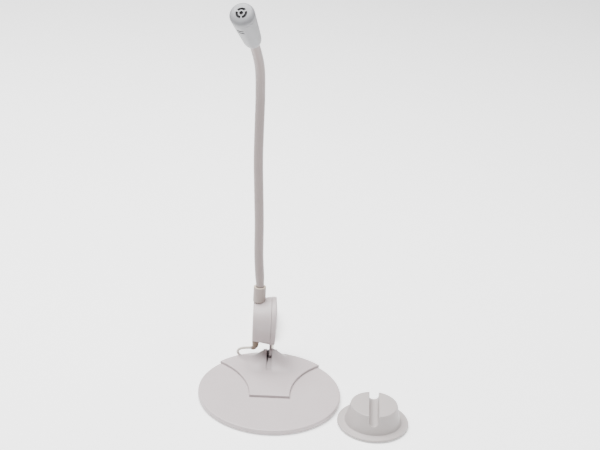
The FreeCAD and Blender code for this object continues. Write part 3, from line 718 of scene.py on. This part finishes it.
def saddle():
    bm = bmesh.new()
    plate_rings(bm, saddle_outline(), shell_high.z - 0.05, saddle_top, 0.05, 0.7, 6)
    steps = (0.0, 0.06, 0.16, 0.34)
    drops = (0.26, 0.10, 0.02, 0.0)
    sides = []
    for slot in (3.2, 1.15):
        reach = hill_half - slot - steps[-1]
        outer = [slot + steps[-1] + reach * (k / 26) ** 1.15 for k in range(1, 27)]
        sides.append((slot, outer))
    (left_slot, left_outer), (right_slot, right_outer) = sides
    rows = []
    count = 84
    limit = shell_high.x - 0.6
    for i in range(count + 1):
        v = i / count
        row = []

        def vertex(x, drop, flat):
            end = min(hill_edge, math.sqrt(limit**2 - x * x))
            y = tilt_pivot.y - hill_front + v * (end - tilt_pivot.y + hill_front)
            z = hill_z(x, y)
            z = min(z, slot_floor) if flat else max(z - drop, min(z, slot_floor))
            row.append(bm.verts.new((x, y, z - 0.015)))

        for x in reversed(left_outer):
            vertex(-x, 0, False)
        for step, drop in zip(reversed(steps), reversed(drops)):
            vertex(-left_slot - step, drop, False)
        vertex(-left_slot, 0, True)
        vertex(right_slot, 0, True)
        for step, drop in zip(steps, drops):
            vertex(right_slot + step, drop, False)
        for x in right_outer:
            vertex(x, 0, False)
        rows.append(row)
    for a, b in zip(rows, rows[1:]):
        for j in range(len(a) - 1):
            bm.faces.new((a[j], a[j + 1], b[j + 1], b[j]))
    bmesh.ops.remove_doubles(bm, verts=bm.verts, dist=1e-4)
    return to_object(bm, "saddle_top", looks["shell"], None, 30)


def slot_rib():
    """The rib that fills the slot's right side in front of the tongue."""
    spots = []
    for k in range(17):
        y = rib_front_y + (rib_crest_y - rib_front_y) * k / 16
        spots.append((y, max(slot_floor, hill_z(0, y) - rib_depth)))
    spots += [(40.3, 12.9), (43.3, 9.9), (45.8, 7.6), (45.8, 7.0), (rib_front_y, 7.0)]
    bm = bmesh.new()
    rings = []
    for x in (0.0, 0.12, 1.0):
        ring = []
        for y, z in spots:
            left = -3.3 + 2.2 * min(1.0, max(0.0, (y - 33.0) / 8.0))
            ring.append(bm.verts.new((left + (1.3 - left) * x, y, z - (0.12 if x == 0 else 0))))
        rings.append(ring)
    add_rings(bm, rings)
    bm.faces.new(rings[0])
    bm.faces.new(rings[-1])
    return to_object(bm, "slot_rib", looks["shell"], None, 30)


def slot_web():
    """The wall that closes the slot's open side behind the tongue."""
    bm = bmesh.new()
    rings = []
    for k in range(13):
        y = web_near_y + (web_far_y - web_near_y) * k / 12
        top = hill_z(-2.2, y) - (0.25 if k in (0, 12) else 0.02)
        corners = [(-3.4, 7.2), (-1.1, 7.2), (-1.1, top), (-3.4, top)]
        rings.append([bm.verts.new((x, y, z)) for x, z in corners])
    add_rings(bm, rings)
    bm.faces.new(rings[0])
    bm.faces.new(rings[-1])
    return to_object(bm, "slot_web", looks["shell"], None, 30)


def base():
    top = shell_high.z
    radius = shell_high.x
    profile = [(0, top), (radius * 0.5, top), (radius - 2.5, top), (radius, top, 1.3)]
    profile += [(radius, 0.7, 0.5), (radius - 1.7, 0.7, 0.3), (radius - 1.7, 2.6), (0, 2.6)]
    shell = lathe("base_cover", soften(profile, 8), looks["shell"], None, 288)
    dress(shell, "base", "shell", "base_shell")
    dress(saddle(), "base", "shell", "stand_saddle")
    dress(slot_rib(), "base", "shell")
    dress(slot_web(), "base", "shell")
    under = soften([(0, 1.0), (57.9, 1.0, 0.3), (57.9, 2.0, 0.2), (0, 2.0)], 4)
    low_plate = lathe("base_bottom", under, looks["inner_plastic"], None, 192)
    dress(low_plate, "base", "inner_plastic", "bottom_plate")
    foam = soften([(0, 0), (51.9, 0, 0.3), (52.0, 1.0, 0.15), (0, 1.02)], 4)
    dress(lathe("base_foam", foam, looks["foam"], None, 192), "base", "foam", "foot_pad")
    pin_z = tilt_pivot.z
    for side in (-1, 1):
        place = place_at((0, tilt_pivot.y, pin_z), X * side, Y)
        well = soften([(0, 4.0), (1.1, 4.0), (1.1, 5.95, 0.3), (0, 5.97)], 4)
        dress(lathe(f"pin_well_{side + 2}", well, looks["shell"], place, 40), "base", "shell")
        end = soften([(0, 4.0), (0.78, 4.0), (0.78, 6.12, 0.25), (0, 6.15)], 4)
        dress(lathe(f"pin_end_{side + 2}", end, looks["screw_steel"], place, 40), "base", "screw_steel")


# ---------------------------------------------------------------- tilting housing
housing_y = tilt_pivot.y
housing_z = (body_low.z + body_high.z) / 2
on_x = Matrix(((0, 0, 1, 0), (1, 0, 0, housing_y), (0, 1, 0, housing_z), (0, 0, 0, 1)))


def housing():
    left = body_low.x
    seam = body_high.x
    seam_radius = (body_high.z - body_low.z) / 2
    left_radius = 18.2
    profile = [(0, left + 0.25), (left_radius - 3.4, left + 0.25, 0.6), (left_radius - 2.9, left, 0.4)]
    profile += [(left_radius, left, 1.0), (seam_radius - 0.1, seam - 0.55)]
    profile += [(seam_radius - 0.1, seam - 0.2, 0.15)]
    profile += [(seam_radius - 0.75, seam - 0.1), (seam_radius - 1.0, seam), (0, seam)]
    body = lathe("housing_shell", soften(profile, 8), looks["housing"], on_x, 256)
    cutters = []
    for angle in (35, 145, 215, 325):
        a = math.radians(angle)
        spot = (14.2 * math.cos(a), 14.2 * math.sin(a))
        cutters.append(prism(circle(2.35, 48, spot), left - 1, left + 2.7, on_x, looks["housing"]))
    carve(body, cutters)
    dress(body, "housing", "housing", "housing_body")

    lid_radius = lid_high.y - housing_y
    dome = lid_high.x
    rim = 3.1
    profile = [(0, seam), (lid_radius - 0.8, seam), (lid_radius, seam + 0.12, 0.25)]
    profile += [(lid_radius, rim, 1.5)]
    sphere = ((lid_radius - 1.9) ** 2 + (dome - rim) ** 2) / (2 * (dome - rim))
    for k in range(12):
        r = (lid_radius - 1.9) * (1 - k / 12)
        profile.append((r, dome - sphere + math.sqrt(sphere**2 - r * r)))
    profile.append((0, dome))
    lid = lathe("housing_cover", soften(profile, 8), looks["housing"], on_x, 256)
    dress(lid, "housing", "housing", "housing_lid")

    half_root = 7.0
    end = 7.0
    root_z = lid_low.z + 11.0
    outline = [(half_root, root_z - tilt_pivot.z), (-half_root, root_z - tilt_pivot.z)]
    for k in range(33):
        a = math.radians(180 + 180 * k / 32)
        outline.append((end * math.cos(a), end * math.sin(a)))
    tongue_place = Matrix(
        ((0, 0, 1, 0), (1, 0, 0, tilt_pivot.y), (0, 1, 0, tilt_pivot.z), (0, 0, 0, 1))
    )
    tongue = plate("housing_tongue", outline, -1.0, 1.0, 0.25, 0.25, looks["housing"], tongue_place)
    dress(tongue, "housing", "housing")

    for number, angle in enumerate(housing_screw_angles):
        a = math.radians(angle)
        y = housing_y + housing_screw_radius * math.cos(a)
        z = housing_z + housing_screw_radius * math.sin(a)
        place = place_at((left + 2.7, y, z), -X, Y)
        profile = soften([(0, -0.6), (2.1, -0.6), (2.1, 0.5, 0.5), (1.2, 1.1, 0.8), (0, 1.25)], 5)
        head = lathe("screw", profile, looks["screw_steel"], place, 48)
        turn = Matrix.Rotation(random.uniform(0, 1.5), 4, "Z")
        bars = []
        # The cross recess is cut with a near-black cutter whose colour the cut faces take: painted shade in the
        # recess.
        for cross in (0, math.pi / 2):
            spin = place @ turn @ Matrix.Rotation(cross, 4, "Z")
            bar = [(-1.25, -0.24), (1.25, -0.24), (1.25, 0.24), (-1.25, 0.24)]
            bars.append(prism(bar, 0.35, 2.0, spin, looks["dark"]))
        carve(head, bars)
        head.name = f"lid_screw_{number + 1}"
        if number == 0:
            dress(head, "housing", "screw_steel", "lid_screws")
        else:
            dress(head, "housing", "screw_steel")


def collar_and_relief():
    x = (collar_low.x + collar_high.x) / 2
    y = (collar_low.y + collar_high.y) / 2
    radius = (collar_high.x - collar_low.x) / 2
    top = collar_high.z
    foot = collar_low.z
    profile = [(0, foot), (radius, foot, 0.6), (radius, foot + 3), (radius - 0.02, top - 1.6, 0.5)]
    profile += [(radius - 0.12, top, 0.4), (3.75, top, 0.15), (3.65, top - 1.0), (3.6, top - 4), (0, top - 4)]
    place = place_at((x, y, 0), Z)
    collar = lathe("neck_socket", soften(profile, 6), looks["collar"], place, 96)
    dress(collar, "housing", "collar", "neck_collar")
    # A thin ring on the collar's top in the cream rim colour: painted highlight where the collar's mouth faces the
    # light.
    ring = soften([(3.8, top - 0.3), (4.95, top - 0.3), (4.95, top + 0.05, 0.15), (3.8, top + 0.05, 0.1)], 4)
    dress(lathe("neck_socket_rim", ring, looks["rim"], place, 96, closed=True), "housing", "collar")

    x = -13.35
    exit_z = 18.0
    bend = 2.1
    low = exit_z + bend
    stem = [(0, low - 1.2), (1.8, low - 1.1, 0.2), (2.5, low - 0.5, 0.5), (2.7, low + 0.8, 0.5)]
    stem += [(3.12, 24.9, 0.3), (3.0, 25.1, 0.1), (3.0, 25.4, 0.1), (3.15, 25.6, 0.2), (3.2, 27.2)]
    stem += [(2.6, 29.0), (0, 29.0)]
    relief = lathe("lead_relief", soften(stem, 5), looks["relief"], place_at((x, y, 0), Z), 72)
    dress(relief, "housing", "relief", "cord_relief")
    points = [Vector((x, y, low + 1.0)), Vector((x, y, low + 0.4))]
    radii = [1.9, 1.9]
    for k in range(13):
        a = math.radians(90) * k / 12
        points.append(Vector((x - bend + bend * math.cos(a), y, low - bend * math.sin(a))))
        radii.append(1.9 - 0.15 * k / 12)
    for k in range(1, 7):
        points.append(Vector((x - bend - 1.35 * k / 6, y, exit_z)))
        radii.append(1.75 - 0.3 * k / 6)
    dress(tube("lead_relief_bend", points, radii, looks["relief"], 48), "housing", "relief")


# ---------------------------------------------------------------- bending neck
def smooth_path(points, step=0.8):
    """A curve through points; returns the samples and the length reached at each point."""
    extended = [points[0] * 2 - points[1]] + points + [points[-1] * 2 - points[-2]]
    samples = [points[0]]
    marks = [0.0]
    length = 0.0
    lengths = [0.0]
    for p0, p1, p2, p3 in zip(extended, extended[1:], extended[2:], extended[3:]):
        count = max(2, int((p2 - p1).length / step))
        t0, t1 = 0.0, (p1 - p0).length ** 0.5
        t2 = t1 + (p2 - p1).length ** 0.5
        t3 = t2 + (p3 - p2).length ** 0.5
        for k in range(1, count + 1):
            t = t1 + (t2 - t1) * k / count
            a1 = p0 * ((t1 - t) / (t1 - t0)) + p1 * ((t - t0) / (t1 - t0))
            a2 = p1 * ((t2 - t) / (t2 - t1)) + p2 * ((t - t1) / (t2 - t1))
            a3 = p2 * ((t3 - t) / (t3 - t2)) + p3 * ((t - t2) / (t3 - t2))
            b1 = a1 * ((t2 - t) / (t2 - t0)) + a2 * ((t - t0) / (t2 - t0))
            b2 = a2 * ((t3 - t) / (t3 - t1)) + a3 * ((t - t1) / (t3 - t1))
            at = b1 * ((t2 - t) / (t2 - t1)) + b2 * ((t - t1) / (t2 - t1))
            length += (at - samples[-1]).length
            samples.append(at)
            lengths.append(length)
        marks.append(length)
    return samples, lengths, marks


def sleeve_radius(length):
    """The sleeve is a little slimmer where it dips into the collar."""
    share = min(1.0, max(0.0, (length - 7.0) / 12.0))
    return 3.4 + 0.5 * share * share * (3 - 2 * share)


def neck():
    first = neck_pivots[0]
    foot = Vector((first.x, first.y, first.z - 8.0))
    knots = [foot, first, *neck_pivots[1:], head_rear, head_rear + head_axis * 9.0]
    samples, lengths, marks = smooth_path(knots)
    directions, sides = frames_along(samples)
    splits = [0]
    for a, b in zip(marks[1:-2], marks[2:-1]):
        middle = (a + b) / 2
        splits.append(min(range(len(lengths)), key=lambda i: abs(lengths[i] - middle)))
    splits[-1] = len(samples) - 1
    for k in range(8):
        start, end = splits[k], splits[k + 1]
        name = f"sleeve_{k + 1}"
        bm = bmesh.new()
        rings = []
        for i in range(start, end + 1):
            other = directions[i].cross(sides[i])
            ring = []
            for j in range(56):
                a = 2 * math.pi * j / 56
                offset = (sides[i] * math.cos(a) + other * math.sin(a)) * sleeve_radius(lengths[i])
                ring.append(bm.verts.new(samples[i] + offset))
            rings.append(ring)
        add_rings(bm, rings)
        thing = to_object(bm, name, looks["sleeve"], outward=False)
        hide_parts(f"neck_sleeve_{k + 1}")
        if k == 0:
            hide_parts("neck_anchor")
        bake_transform(thing)


# ---------------------------------------------------------------- head
def head_radius(height):
    return 6.5 + 3.0 * (height / 43.0) ** 0.85


def head():
    place = place_at(head_rear, head_axis)
    seam = 41.0
    rear = [(0, 0.0), (4.1, 0.0), (4.9, 0.12), (5.6, 0.6), (6.1, 1.4), (6.45, 2.5), (6.72, 3.6)]
    side = [(head_radius(h), h) for h in [5 + (seam - 0.25 - 5) * k / 24 for k in range(25)]]
    edge = head_radius(seam)
    profile = rear + side + [(edge - 0.14, seam - 0.08), (edge - 0.5, seam), (0, seam)]
    # The head pieces use the head colour, which is the shell plastic with painted shade.
    body = lathe("head_barrel", profile, looks["head"], place, 192)
    cutters = []
    # The port cutters are near-black and give their colour to the cut faces: the port floor stands for the black
    # felt behind, the port walls get painted shade.
    for height in (31.2, 34.4):
        outline = sector(6.6, 12.0, 232, 268, 18, 0.3)
        cutters.append(prism(outline, height - 0.75, height + 0.75, place, looks["dark"]))
    carve(body, cutters)
    dress(body, "head", "head", "head_body", "port_felt")

    front = [(0, seam), (edge - 0.5, seam), (edge - 0.14, seam + 0.08), (head_radius(41.3), 41.3)]
    front += [(head_radius(42.1), 42.1), (9.48, 43.0), (9.44, 43.8), (9.26, 44.5), (8.9, 45.1), (8.4, 45.6)]
    front += [(7.7, 46.0), (6.8, 46.3), (5.6, 46.55), (4.2, 46.75), (2.6, 46.9), (1.3, 46.97), (0, 47.0)]
    cap = lathe("head_front", front, looks["head"], place, 192)
    # The grille cutters carry the felt's black onto the cut faces, so the cap's slot walls get painted shade; the
    # felt disc itself shows beneath.
    cutters = [prism(circle(1.5, 48), 46.0, 49, place, looks["felt"])]
    bridge = 10.0
    for start in (30, 150, 270):
        outline = sector(2.5, 4.4, start + bridge, start + 120 - bridge, 28, 0.2)
        cutters.append(prism(outline, 46.0, 49, place, looks["felt"]))
    carve(cap, cutters)
    dress(cap, "head", "head", "head_cap")
    felt = lathe("head_felt", [(0, 44.6), (4.9, 44.6), (4.9, 46.04), (0, 46.04)], looks["felt"], place, 96)
    dress(felt, "head", "felt", "front_felt")


# ---------------------------------------------------------------- loose holder
def holder():
    centre_x = (holder_low.x + holder_high.x) / 2
    centre_y = (holder_low.y + holder_high.y) / 2
    flange = (holder_high.x - holder_low.x) / 2
    top = holder_high.z
    place = Matrix.Translation((centre_x, centre_y, 0)) @ Matrix.Rotation(math.radians(-3.5), 4, "Z")
    profile = [(0, top), (19.2, top, 0.8), (23.2, 2.95, 1.0), (flange, 2.9, 0.8), (flange, 1.0, 0.4)]
    profile += [(flange - 1.2, 0.95), (0, 0.95)]
    body = lathe("holder_shell", soften(profile, 8), looks["holder"], place, 240)
    width = 3.9
    centre_z = top - 8.7 + width
    outline = []
    for k in range(33):
        a = math.radians(180 + 180 * k / 32)
        outline.append((width * math.cos(a), centre_z + width * math.sin(a)))
    flare = 0.7
    for k in range(7):
        a = math.radians(90) * k / 6
        outline.append((width + flare * (1 - math.cos(a)), top - flare * (1 - math.sin(a)) + 0.001))
    outline.append((width + flare, top + 4))
    outline.append((-width - flare, top + 4))
    for k in range(7):
        a = math.radians(90) * (6 - k) / 6
        outline.append((-width - flare * (1 - math.cos(a)), top - flare * (1 - math.sin(a)) + 0.001))
    along = place @ Matrix(((1, 0, 0, 0), (0, 0, -1, 0), (0, 1, 0, 0), (0, 0, 0, 1)))
    carve(body, [prism(outline, -40, 40, along, looks["holder"])], 30)
    dress(body, "holder", "holder", "neck_holder")
    foam = soften([(0, 0), (flange - 3.1, 0, 0.2), (flange - 3.0, 1.0, 0.1), (0, 1.0)], 4)
    dress(lathe("holder_foam", foam, looks["foam"], place, 160), "holder", "foam", "holder_pad")


base()
housing()
collar_and_relief()
neck()
head()
holder()


# ---------------------------------------------------------------- floor and light
def floor():
    material = bpy.data.materials.new("floor")
    material.use_nodes = True
    tree = material.node_tree
    shader = tree.nodes["Principled BSDF"]
    place = tree.nodes.new("ShaderNodeTexCoord")
    noise = noise_node(tree, place.outputs["Object"], 3.0)
    tint = colour_node(tree, noise, (0.90, 0.90, 0.90), (0.93, 0.93, 0.93))
    tree.links.new(tint, shader.inputs["Base Color"])
    shader.inputs["Roughness"].default_value = 0.7
    shader.inputs["Specular IOR Level"].default_value = 0.2
    shader.inputs["Emission Color"].default_value = (1, 1, 1, 1)
    shader.inputs["Emission Strength"].default_value = 0.5
    mesh = bpy.data.meshes.new("floor")
    corners = [(-6, -4, 0), (6, -4, 0), (6, 8, 0), (-6, 8, 0)]
    mesh.from_pydata(corners, [], [(0, 1, 2, 3)])
    mesh.materials.append(material)
    thing = bpy.data.objects.new("floor", mesh)
    scene.collection.objects.link(thing)


def lamp(name, place, aim, size, power, colour=(1, 1, 1)):
    data = bpy.data.lights.new(name, "AREA")
    data.shape = "RECTANGLE"
    data.size = size[0]
    data.size_y = size[1]
    data.energy = power
    data.color = colour
    thing = bpy.data.objects.new(name, data)
    thing.location = place
    direction = Vector(aim) - Vector(place)
    thing.rotation_euler = direction.to_track_quat("-Z", "Y").to_euler()
    scene.collection.objects.link(thing)


floor()
lamp("top_light", (-0.3, 0.15, 1.5), (0, 0, 0.1), (1.5, 1.5), 108)
lamp("front_light", (-0.9, -1.2, 1.2), (0, 0, 0.15), (0.8, 0.8), 3)
lamp("right_light", (1.3, -0.4, 0.9), (0, 0, 0.15), (0.7, 0.7), 7)
world = bpy.data.worlds.new("world")
world.use_nodes = True
backdrop = world.node_tree.nodes["Background"]
backdrop.inputs["Color"].default_value = (1.0, 1.0, 1.0, 1)
backdrop.inputs["Strength"].default_value = 0.2
scene.world = world
